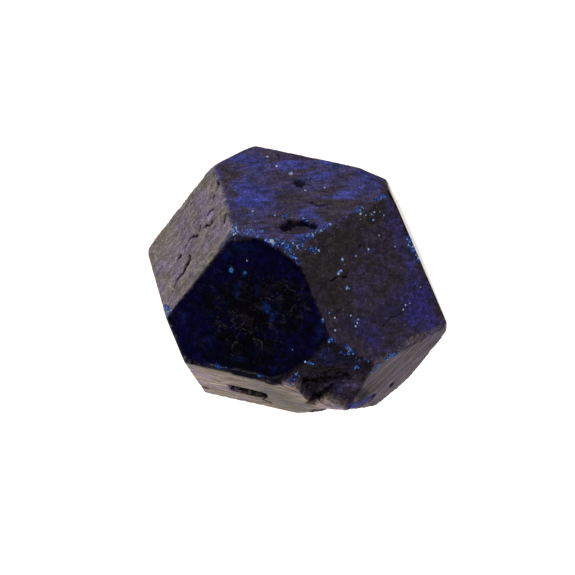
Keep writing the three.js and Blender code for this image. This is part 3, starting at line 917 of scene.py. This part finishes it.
def lightness(s, polish, kept):
    """How light the paint is at each point."""
    light = s.by_face(FACE_LIGHT, 1.0)
    light = light * (1 - 0.7 * s.share("front") * (1 - polish))
    light = light * (1 - s.sunk) + 0.95 * s.sunk
    light = light * (1 - kept) + kept
    for name, at, size, factor, lean in ovals(LIGHT_PATCHES):
        on = np.maximum(s.share(name), kept) if name == "underFront" else s.share(name)
        light *= 1 + (factor - 1) * s.oval(name, at, size, lean, 0.6, 0.4) * on
    # Painted light and shade at places in the break.
    for _, (place,), radius, factor in strokes(BREAK_LIGHT_AND_SHADE):
        near = smooth(1.3, 0.4, np.linalg.norm(s.bent - place, axis=1) / radius)
        light *= 1 + (factor - 1) * near * np.maximum(s.share(*BROKEN), s.sunk) * (1 - kept)
    return light


def blueness(s, satin, broken, dulled):
    """How far the dull ground is from brown towards blue."""
    blue = s.by_face(FACE_BLUE, 0.0) + 0.25 * broken + 0.15 * satin + 0.4 * dulled
    blue += 0.6 * s.patches(BLUE_PATCHES) - 0.5 * s.patches(BROWN_PATCHES) + 1.2 * s.strewn(BREAK_BLUE)
    return blue + 0.45 * s.share(*HIDDEN) * fractal(s.p, 1.6, 52, 3)


def paint(s, dark, kept, broken_ground):
    """The masks that the material reads, each from 0 to 1, and where the ground is broken or dull."""
    dulled = s.strewn(DULLED)
    broken = np.maximum(np.maximum(s.share(*BROKEN), s.sunk) * (1 - kept), s.strewn(BREAKS))
    whole = (1 - dulled) * (1 - broken)
    front = s.margin("front") * whole
    satin = np.maximum(s.share(*SATIN), kept) * whole
    hollow = smooth(-0.05, -0.20, s.proud) * broken
    # Satin faces are painted pale: partly dust, partly painted sheen.
    pale = np.maximum(satin * smooth(0.0, 0.08, s.edge + 0.06), s.strewn(PALED))
    polish = np.maximum(front, s.share("farRight"))
    # Painted shade in the low places of the rough ground in the hollow.
    shade = 0.9 * hollow * smooth(0.015, -0.045, broken_ground)
    return {
        "blue": blueness(s, satin, broken, dulled),
        "pale": np.maximum(pale, s.strewn(BREAK_PALE, 0.8)) * (1 - s.strewn(BREAK_BLUE)),
        "polish": polish,
        "navy": front * (1 - s.patches(BLACK_PATCHES, 0.5, 0.6)),
        "glow": s.patches(GLOWS, 0.4, 0.4) / 2,
        "scratch": s.strewn(SCRATCHES, 0.9),
        # The dark mask: painted shade in pits, slits, clefts and the hollow, and dark ground at the foot of
        # the glassy face.
        "dark": np.maximum(np.maximum(dark, s.strewn(DARKENED)), shade),
        "crazed": s.patches(CRAZED, 0.5, 0.6),
        "turquoise": s.strewn(TURQUOISE),
        "frost": np.maximum(s.strewn(FROST), hollow * smooth(0.005, 0.04, broken_ground)),
        "light": lightness(s, polish, kept) / 2,
    }, broken, dulled


def finishes(s, masks, broken, dulled, kept):
    """The finish of each point, by its place in FINISHES."""
    order = list(FINISHES)
    finish = np.array([order.index(FINISH_OF.get(name, "dull")) for name in NAMES])[s.shares.argmax(1)]
    gloss = finish == order.index("glassy")
    finish[gloss & (masks["polish"] < CLEAR_FROM)] = order.index("dulling")
    finish[gloss & (masks["polish"] < ROUGH_BELOW)] = order.index("rough")
    finish[dulled > 0.5] = order.index("dull")
    finish[(broken > 0.5) | (masks["dark"] > 0.6)] = order.index("rough")
    finish[kept > 0.5] = order.index("chalky")
    return finish


# ---------------------------------------------------------------- materials


class Signal:
    """A number or colour that varies over the surface. It can be added, multiplied and compared."""

    def __init__(self, nodes, socket):
        self.nodes = nodes
        self.socket = socket

    def maths(self, operation, a, b, **settings):
        return self.nodes.add("Math", {0: a, 1: b}, operation=operation, **settings)

    def __add__(self, other):
        return self.maths("ADD", self, other)

    def __sub__(self, other):
        return self.maths("SUBTRACT", self, other)

    def __rsub__(self, other):
        return self.maths("SUBTRACT", other, self)

    def __mul__(self, other):
        return self.maths("MULTIPLY", self, other)

    def __lt__(self, other):
        return self.maths("LESS_THAN", self, other)

    def most(self, other):
        return self.maths("MAXIMUM", self, other)

    def clamped(self):
        return self.maths("ADD", self, 0.0, use_clamp=True)

    def ramp(self, low, high, to_low=0.0, to_high=1.0):
        """Brings the range from low to high to another one, and holds it at the ends."""
        inputs = {"Value": self, "From Min": low, "From Max": high, "To Min": to_low, "To Max": to_high}
        return self.nodes.add("MapRange", inputs)

    def other(self, output):
        """Another output of the same node."""
        return Signal(self.nodes, self.socket.node.outputs[output])


class Nodes:
    """Short calls for building the node tree of a material or world."""

    def __init__(self, owner):
        owner.use_nodes = True
        self.tree = owner.node_tree
        self.tree.nodes.clear()

    def add(self, kind, inputs=None, output=0, **settings):
        """A new shader node. Gives back one of its outputs, if it has any."""
        node = self.tree.nodes.new("ShaderNode" + kind)
        for key, value in settings.items():
            setattr(node, key, value)
        for key, value in (inputs or {}).items():
            socket = node.inputs[key]
            if isinstance(value, Signal):
                self.tree.links.new(value.socket, socket)
            else:
                socket.default_value = (*value, 1) if socket.type == "RGBA" else value
        return Signal(self, node.outputs[output]) if node.outputs else None

    def place(self):
        """The place in millimetres."""
        place = self.add("TexCoord", output="Object")
        return self.add("VectorMath", {0: place, "Scale": 1 / MM}, operation="SCALE")

    def mask(self, name):
        """One of the masks that are painted on the mesh."""
        return self.add("Attribute", output="Fac", attribute_name=name)

    def mix(self, factor, a, b, blend="MIX"):
        """A blend of two colours."""
        return self.add("Mix", {"Factor": factor, 6: a, 7: b}, 2, data_type="RGBA", blend_type=blend)

    def blend(self, factor, a, b):
        """A blend of two numbers."""
        return self.add("Mix", {"Factor": factor, 2: a, 3: b}, data_type="FLOAT")

    def noise(self, place, scale, detail=4.0, rough=0.55):
        inputs = {"Vector": place, "Scale": scale, "Detail": detail, "Roughness": rough}
        return self.add("TexNoise", inputs, "Fac")

    def cracks(self, place, scale):
        """1 along fine wandering cracks."""
        wander = self.add("TexNoise", {"Vector": place, "Scale": 3.0, "Detail": 3.0}, "Color")
        bent = self.add("VectorMath", {0: wander, 1: (0.35,) * 3, 2: place}, operation="MULTIPLY_ADD")
        inputs = {"Vector": bent, "Scale": scale}
        away = self.add("TexVoronoi", inputs, "Distance", feature="DISTANCE_TO_EDGE")
        return away.ramp(0.008, 0.035, 1.0, 0.0)

    def crumbs(self, place, scale):
        """Scattered crumbs: the distance from the nearest one's middle, and two random numbers for it."""
        away = self.add("TexVoronoi", {"Vector": place, "Scale": scale}, "Distance")
        first = self.add("SeparateColor", {"Color": away.other("Color")})
        return away, first, first.other(1)

    def colours(self, value, stops):
        """The colour that belongs to a value, from stops of a value and a colour each."""
        colour = self.add("ValToRGB", {"Fac": value})
        elements = colour.socket.node.color_ramp.elements
        while len(elements) < len(stops):
            elements.new(0.5)
        for element, (place, tint) in zip(elements, stops):
            element.position = place
            element.color = (*tint, 1)
        return colour

    def drawn_out(self, place, name, lean, stretch):
        """The place with one direction of a face squeezed, so that textures are drawn out along it."""
        face = FACES[name]
        way = face.way(lean)
        parts = {}
        for i, axis in enumerate((way / stretch, np.cross(face.normal, way), face.normal)):
            parts[i] = self.add("VectorMath", {0: place, 1: Vector(axis)}, "Value", operation="DOT_PRODUCT")
        return self.add("CombineXYZ", parts)

    def surface(self, colour, rough, index, height, strength, deep):
        """The material's shader, with a bump so many millimetres deep."""
        bump = self.add("Bump", {"Height": height, "Strength": strength, "Distance": deep * MM})
        inputs = {"Base Color": colour, "Roughness": rough, "IOR": index, "Normal": bump}
        self.add("OutputMaterial", {"Surface": self.add("BsdfPrincipled", inputs)})


BROWN = (0.032, 0.023, 0.026)
PLUM = (0.042, 0.030, 0.062)
VIOLET = (0.038, 0.036, 0.145)
BLUE = (0.042, 0.050, 0.280)
HAZE = (0.042, 0.031, 0.140)
PURPLE = (0.049, 0.036, 0.285)
BEIGE = (0.215, 0.170, 0.140)
OCHRE = (0.225, 0.165, 0.125)
MAUVE = (0.184, 0.117, 0.160)
LILAC = (0.205, 0.155, 0.290)
UMBER = (0.075, 0.056, 0.056)
NAVY = (0.0022, 0.0014, 0.032)
BLACK = (0.0016, 0.0010, 0.0040)
VEIL = (0.0260, 0.0215, 0.0280)
GLOW = (0.009, 0.025, 0.130)
GLEAM = (0.050, 0.190, 0.480)
SCRATCH = (0.060, 0.058, 0.080)
FLECK = (0.150, 0.170, 0.450)
CRUST = (0.004, 0.010, 0.090)
SHADE = (0.0045, 0.0040, 0.0120)
BLUES = {"hazy": (HAZE, PURPLE)}  # the blues of a finish, where they aren't violet and blue
DUST_AND_SHEEN = {"streaked": MAUVE, "chalky": OCHRE}  # the dust and painted sheen on a finish that is drawn out along its grain
CRUST_TONES = [(0.0, (0.008, 0.040, 0.260)), (0.60, (0.030, 0.150, 0.600)), (1.0, (0.220, 0.440, 0.900))]
GRAIN_TONES = [
    (0.0, (0.003, 0.016, 0.180)),
    (0.35, (0.012, 0.100, 0.560)),
    (0.65, (0.080, 0.300, 0.950)),
    (0.85, (0.400, 0.580, 1.000)),
    (1.0, (0.90, 0.92, 1.00)),
]
GRAIN_INDEX = 1.6
MOSTLY = (0.34, 0.66)  # where the values of noise mostly lie


def dull_ground(n, level, blue, flecks, violet, deepest):
    """Brown to violet to blue, in level clouds."""
    tone = ((n.noise(level, 1.5, 6.0, 0.62) - 0.5) * 1.25 + blue + flecks * 0.45).clamped()
    return tone, n.colours(tone, [(0.0, BROWN), (0.32, PLUM), (0.58, violet), (1.0, deepest)])


def pale_ground(n, where, along, tone, dust_and_sheen):
    """Dust and painted sheen, and lilac, with dark streaks and nicks along the grain."""
    clouds = (n.noise(where, 1.1, 3.0).ramp(0.35, 0.65, -0.5, 0.5) + tone).clamped()
    colour = n.mix(clouds, dust_and_sheen, LILAC)
    colour = n.mix(n.noise(along, 4.0, 6.0, 0.7).ramp(0.42, 0.66, 0.0, 0.9), colour, UMBER)
    away, first, _ = n.crumbs(along, 4.0)
    return n.mix(away.ramp(0.16, 0.26, 1.0, 0.0) * (first < 0.12), colour, SHADE)


def glass(n, where, navy, glow, crazed, flecks):
    """Black-brown to navy glass, with grey veils and healed cracks, lit blue from inside in places."""
    depth = (n.noise(where, 1.7, 6.0, 0.65).ramp(0.35, 0.65, -0.65, 0.55) + navy).clamped()
    colour = n.mix(depth, BLACK, NAVY)
    veils = n.noise(where, 2.3, 8.0, 0.75).ramp(0.50, 0.66) * crazed.ramp(0.0, 1.0, 0.25, 0.9)
    colour = n.mix(veils, colour, VEIL)
    cracks = n.cracks(where, 1.7) * n.noise(where, 7.0, 2.0).ramp(0.48, 0.60) * crazed
    colour = n.mix(cracks * 0.7, colour, SCRATCH)
    lit = (glow * flecks.ramp(-0.2, 0.2, 0.8, 2.8)).clamped()
    return n.mix(lit, colour, n.mix(glow.ramp(0.55, 0.95), GLOW, GLEAM))


def speckled(n, grain, level, body, light, pale):
    """Uneven light and shade in the paint, at three scales."""
    fine = n.noise(grain, 12.0, 2.0, 0.6)
    fine = fine.ramp(*MOSTLY, n.blend(pale, 0.45, 0.50), n.blend(pale, 1.60, 1.62))
    clouds = n.noise(level, 5.5, 4.0, 0.7)
    clouds = clouds.ramp(*MOSTLY, n.blend(pale, 0.45, 0.85), n.blend(pale, 1.65, 1.18))
    middling = n.noise(grain, 3.6, 3.0, 0.6).ramp(*MOSTLY, 0.60, 1.55)
    return n.mix(1.0, body, fine * clouds * middling * (light * 2.0), "MULTIPLY")


def crusted(n, where, body, turquoise, frost, bare):
    """Pale flecks all over the dull ground, and a crust of turquoise crumbs."""
    away, first, second = n.crumbs(where, 8.0)
    fleck = away.ramp(0.12, 0.34, 1.0, 0.0) * second * bare
    body = n.mix(fleck * (first < frost * 0.6 + 0.07), body, FLECK)
    body = n.mix(turquoise.ramp(0.15, 0.55, 0.0, 0.85), body, CRUST)
    crumb = away.ramp(0.25, 0.50, 1.0, 0.0) * (first < turquoise)
    return n.mix(crumb, body, n.colours(second, CRUST_TONES))


def boleite(finish):
    """The material of one finish. All of them carry the same paint, and each has its own gloss and grain."""
    index, *grain = FINISHES[finish]
    material = bpy.data.materials.new(f"boleite {finish}")
    n = Nodes(material)
    where = n.place()
    level = n.drawn_out(where, "top", 3, 2.6)
    along = n.drawn_out(where, *grain)
    blue, pale, polish, light, dark = map(n.mask, ("blue", "pale", "polish", "light", "dark"))
    navy, glow, crazed, scratch = map(n.mask, ("navy", "glow", "crazed", "scratch"))
    turquoise, frost = map(n.mask, ("turquoise", "frost"))
    flecks = n.noise(where, 8.0, 3.0, 0.6) - 0.5

    tone, body = dull_ground(n, level, blue, flecks, *BLUES.get(finish, (VIOLET, BLUE)))
    # The pale ground: dust, and partly painted sheen.
    body = n.mix(pale, body, pale_ground(n, where, along, tone, DUST_AND_SHEEN.get(finish, BEIGE)))
    body = n.mix(polish, body, glass(n, where, navy, glow, crazed, flecks))
    body = speckled(n, along if finish in DUST_AND_SHEEN else where, level, body, light, pale)
    body = crusted(n, where, body, turquoise, frost, 1.0 - (pale * 0.5).most(polish * 0.9))
    body = n.mix(scratch * n.noise(where, 12.0, 2.0).ramp(0.48, 0.64, 0.0, 0.7), body, SCRATCH)
    # Painted shade from the dark mask, and dark ground at the foot of the glassy face, in near-black.
    body = n.mix(dark * 0.97, body, SHADE)

    rough = n.blend(polish, n.blend(pale, 0.52, 0.45), 0.10)
    rough = rough + (1.0 - polish) * flecks.ramp(-0.3, 0.3, -0.08, 0.08)
    rough = n.blend(dark.most(scratch), rough, 0.9)
    grit = n.noise(where, 12.0, 4.0, 0.65)
    clouded = n.noise(level, 5.0, 3.0) * 0.7 + grit * 0.7
    hatched = n.noise(along, 7.0, 4.0, 0.6) * 1.2 + grit * 0.5
    n.surface(body, rough, index, n.blend(pale, clouded, hatched), 1.0 - polish * 0.97, 0.045)
    return material


def grain_material():
    """The material of the tiny crystals, from deep blue over turquoise to white by their tint."""
    material = bpy.data.materials.new("turquoise")
    n = Nodes(material)
    where = n.place()
    cloud = n.noise(where, 9.0, 3.0)
    colour = n.colours((n.mask("tint") + cloud.ramp(0.3, 0.7, -0.18, 0.18)).clamped(), GRAIN_TONES)
    n.surface(colour, cloud.ramp(0.3, 0.7, 0.18, 0.4), GRAIN_INDEX, n.noise(where, 30.0, 2.0), 0.4, 0.01)
    return material


# ---------------------------------------------------------------- the crystal


def set_mask(mesh, name, values):
    layer = mesh.attributes.new(name, "FLOAT", "POINT")
    layer.data.foreach_set("value", np.clip(values, 0, 1).astype(np.float32))


def add_piece(name, mesh, materials):
    """A piece of the part, from a mesh in millimetres from the crystal's middle."""
    mesh.transform(Matrix.Scale(MM, 4) @ Matrix.Translation(Vector(MIDDLE)))
    mesh.update()
    piece = new_object(name, mesh)
    for material in materials:
        mesh.materials.append(material)
    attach(piece, "root")
    return piece


def dress(mesh, finish):
    """Gives each polygon the last of its points' finishes, so that no gloss spreads over an edge."""
    corners = column(mesh.loops, "vertex_index", int)
    chosen = np.maximum.reduceat(finish[corners], column(mesh.polygons, "loop_start", int))
    mesh.polygons.foreach_set("material_index", chosen.astype(np.int32))
    mesh.polygons.foreach_set("use_smooth", np.ones(len(mesh.polygons), bool))


def fine_mesh(solid):
    """The solid with exactly flat faces, on a grid that is finer in front and finest along the marks."""
    mesh = gridded(solid.copy())
    write(mesh, edged(healed(read(mesh, "co")), EDGE_REACH[0]))
    s = Surface(read(mesh, "co"))
    refine(mesh, (s.share(*IN_FRONT) > 0.3) | fine_work(s, GRID))
    write(mesh, edged(read(mesh, "co"), EDGE_REACH[1]))
    refine(mesh, fine_work(Surface(read(mesh, "co")), GRID / 2))
    p = edged(read(mesh, "co"), EDGE_REACH[2])
    s = Surface(p)
    write(mesh, snapped(p, solid, (s.share(*BROKEN) > 0.5) & (s.proud < -0.02)))
    return mesh


def make_crystal():
    """The crystal itself. Gives back its surface, which carries the grains."""
    mesh = fine_mesh(clean_copy(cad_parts[NODE]))
    s = Surface(read(mesh, "co"))
    cut, dark = marks_relief(s)
    rise, kept = kept_ground(s)
    broken_ground = hollow_relief(s) * (1 - kept)
    lift = np.minimum(face_relief(s) + edge_wear(s) - cut - random_pits(s), 0) + broken_ground
    p = s.p + FACES["underFront"].normal * rise[:, None]
    p = rounded(p + outward(s, read(mesh, "normal")) * lift[:, None])
    p = np.clip(p, LOWEST, HIGHEST)
    write(mesh, p)
    masks, broken, dulled = paint(s, dark, kept, broken_ground)
    for name, values in masks.items():
        set_mask(mesh, name, values)
    mesh.materials.clear()
    dress(mesh, finishes(s, masks, broken, dulled, kept))
    surface = {"p": p, "normals": read(mesh, "normal"), "areas": point_areas(mesh)}
    surface.update(turquoise=masks["turquoise"], white=s.strewn(WHITE))
    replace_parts(add_piece("crystal", mesh, [boleite(finish) for finish in FINISHES]), NODE)
    return surface


# ---------------------------------------------------------------- the grains

DIRECTIONS = np.array(list(np.ndindex(3, 3, 3))) - 1.0
# A cube with its corners cut off, the form of the crystal itself.
GRAIN_POINTS = DIRECTIONS[np.abs(DIRECTIONS).sum(1) == 2]
GRAINS_PER_MM2 = 560
GRAIN_HALF = (0.008, 0.038)  # half widths of the smallest and the largest
GRAIN_SUNK = 0.55  # how far a grain's middle lies below the surface, of its half width
# The tints of strewn grains and of single ones, from deep blue at 0 to white at 1.
TINTS = {"turquoise": (0.0, 0.85), "white": (0.60, 0.95)}
# The single grains' pale tints stand partly for painted glints.
SPARKLE_TINTS = (0.72, 0.98)


def grain_faces():
    """The faces of a cuboctahedron on GRAIN_POINTS, each wound outwards."""
    faces = []
    for d in DIRECTIONS:
        if np.abs(d).sum() not in (1, 3):
            continue
        reach = GRAIN_POINTS @ d
        ring = np.flatnonzero(reach > reach.max() - 1e-6)
        spokes = GRAIN_POINTS[ring] - GRAIN_POINTS[ring].mean(0)
        angles = np.arctan2(spokes @ np.cross(unit(d), spokes[0]), spokes @ spokes[0])
        faces.append(ring[angles.argsort()].tolist())
    return faces


def random_turn(rng):
    return np.array(Quaternion(unit(rng.normal(size=4))).to_matrix())


def grain_places(surface, rng):
    """Place, way up, half width and tint of each grain."""
    p, normals = surface["p"], surface["normals"]
    for kind, (low, high) in TINTS.items():
        chance = surface[kind] * GRAINS_PER_MM2 * surface["areas"]
        for i in np.flatnonzero(rng.random(len(p)) < chance):
            half = GRAIN_HALF[0] + (GRAIN_HALF[1] - GRAIN_HALF[0]) * rng.random() ** 2.5
            at = p[i] + rng.normal(size=3) * 0.01
            yield at, normals[i], half, low + (high - low) * rng.random() ** 1.3
    low, high = SPARKLE_TINTS
    for name, entries in SPARKLES.items():
        for u, v, half in entries:
            i = np.linalg.norm(p - FACES[name].point(u / 100, v / 100), axis=1).argmin()
            yield p[i], normals[i], 0.8 * half / 100, low + (high - low) * rng.random()


def make_grains(surface):
    """Tiny crystals strewn over the surface, sunk about halfway into it."""
    rng = np.random.default_rng(SEED)
    faces = grain_faces()
    points, polygons, tints = [], [], []
    for at, normal, half, tint in list(grain_places(surface, rng)):
        stretch = 1 + 0.5 * rng.random(3)
        shape = (GRAIN_POINTS * stretch * half) @ random_turn(rng).T + at - normal * half * GRAIN_SUNK
        if (shape < LOWEST).any() or (shape > HIGHEST).any():
            continue
        polygons.extend([[len(points) + k for k in face] for face in faces])
        points.extend(shape.tolist())
        tints.extend([tint] * len(GRAIN_POINTS))
    mesh = bpy.data.meshes.new("grains")
    mesh.from_pydata(points, [], polygons)
    set_mask(mesh, "tint", tints)
    add_piece("turquoise_grains", mesh, [grain_material()])


# ---------------------------------------------------------------- floor, light and camera

CAMERA_ELEVATION = 37.94
CAMERA_DISTANCE = 274.0
AIM = np.array((-0.403, -0.025, -0.140))  # from the crystal's middle
LENS = 417.4
SENSOR = 36
FLOOR_COLOUR = (1.0, 0.95, 0.88)
FLOOR_HALF = 3000
FLOOR_LIT = (17, 40)  # the floor is lit to the first distance and dark from the second
SEEN, DARK = 1.3, 0.015  # how bright the surroundings look, and how bright they are far off in reflections
# Azimuth, elevation, distance, width, height and radiance of each light.
LIGHTS = {
    "overhead": (10, 78, 160, 150, 150, 2.2),
    "left card": (-130, 12, 140, 170, 70, 1.2),
    "back card": (180, 42, 150, 160, 60, 0.25),
    "right card": (75, 22, 150, 120, 60, 0.12),
}


def make_floor():
    """A floor that glows white, and is darker in reflections of what lies further off."""
    mesh = bpy.data.meshes.new("floor")
    corners = np.array([(-1, -1, 0), (1, -1, 0), (1, 1, 0), (-1, 1, 0)]) * FLOOR_HALF * MM
    mesh.from_pydata(corners.tolist(), [], [(0, 1, 2, 3)])
    material = bpy.data.materials.new("floor")
    n = Nodes(material)
    away = n.add("VectorMath", {0: n.place()}, "Value", operation="LENGTH")
    level = n.blend(n.add("LightPath", output="Is Camera Ray"), away.ramp(*FLOOR_LIT, 1.0, DARK), SEEN)
    n.add("OutputMaterial", {"Surface": n.add("Emission", {"Color": FLOOR_COLOUR, "Strength": level})})
    mesh.materials.append(material)
    floor = new_object("floor", mesh)


def make_world():
    world = bpy.data.worlds.new("studio")
    bpy.context.scene.world = world
    n = Nodes(world)
    level = n.add("LightPath", output="Is Camera Ray").ramp(0, 1, DARK, SEEN)
    n.add("OutputWorld", {"Surface": n.add("Background", {"Color": (1, 1, 1), "Strength": level})})


def aim_at(obj, azimuth, elevation, distance, target):
    """Puts an object at a distance from the target, in millimetres, looking at it."""
    away = Vector(facing(azimuth, elevation))
    obj.location = Vector(target * MM) + away * distance * MM
    obj.rotation_euler = (-away).to_track_quat("-Z", "Y").to_euler()


def make_lights():
    """Rectangles of soft light that face the crystal and aren't seen themselves."""
    for name, (azimuth, elevation, distance, width, height, radiance) in LIGHTS.items():
        light = bpy.data.lights.new(name, "AREA")
        light.shape = "RECTANGLE"
        light.size, light.size_y = width * MM, height * MM
        light.energy = radiance * math.pi * light.size * light.size_y
        obj = new_object(name, light)
        obj.visible_camera = False
        aim_at(obj, azimuth, elevation, distance, MIDDLE)


def make_camera():
    data = bpy.data.cameras.new("camera")
    data.lens = LENS
    data.sensor_width = SENSOR
    data.clip_start = 0.01
    camera = new_object("camera", data)
    aim_at(camera, 0, CAMERA_ELEVATION, CAMERA_DISTANCE, MIDDLE + AIM)
    bpy.context.scene.camera = camera


make_grains(make_crystal())
make_floor()
make_world()
make_lights()
make_camera()
bpy.context.scene.view_settings.view_transform = "Standard"
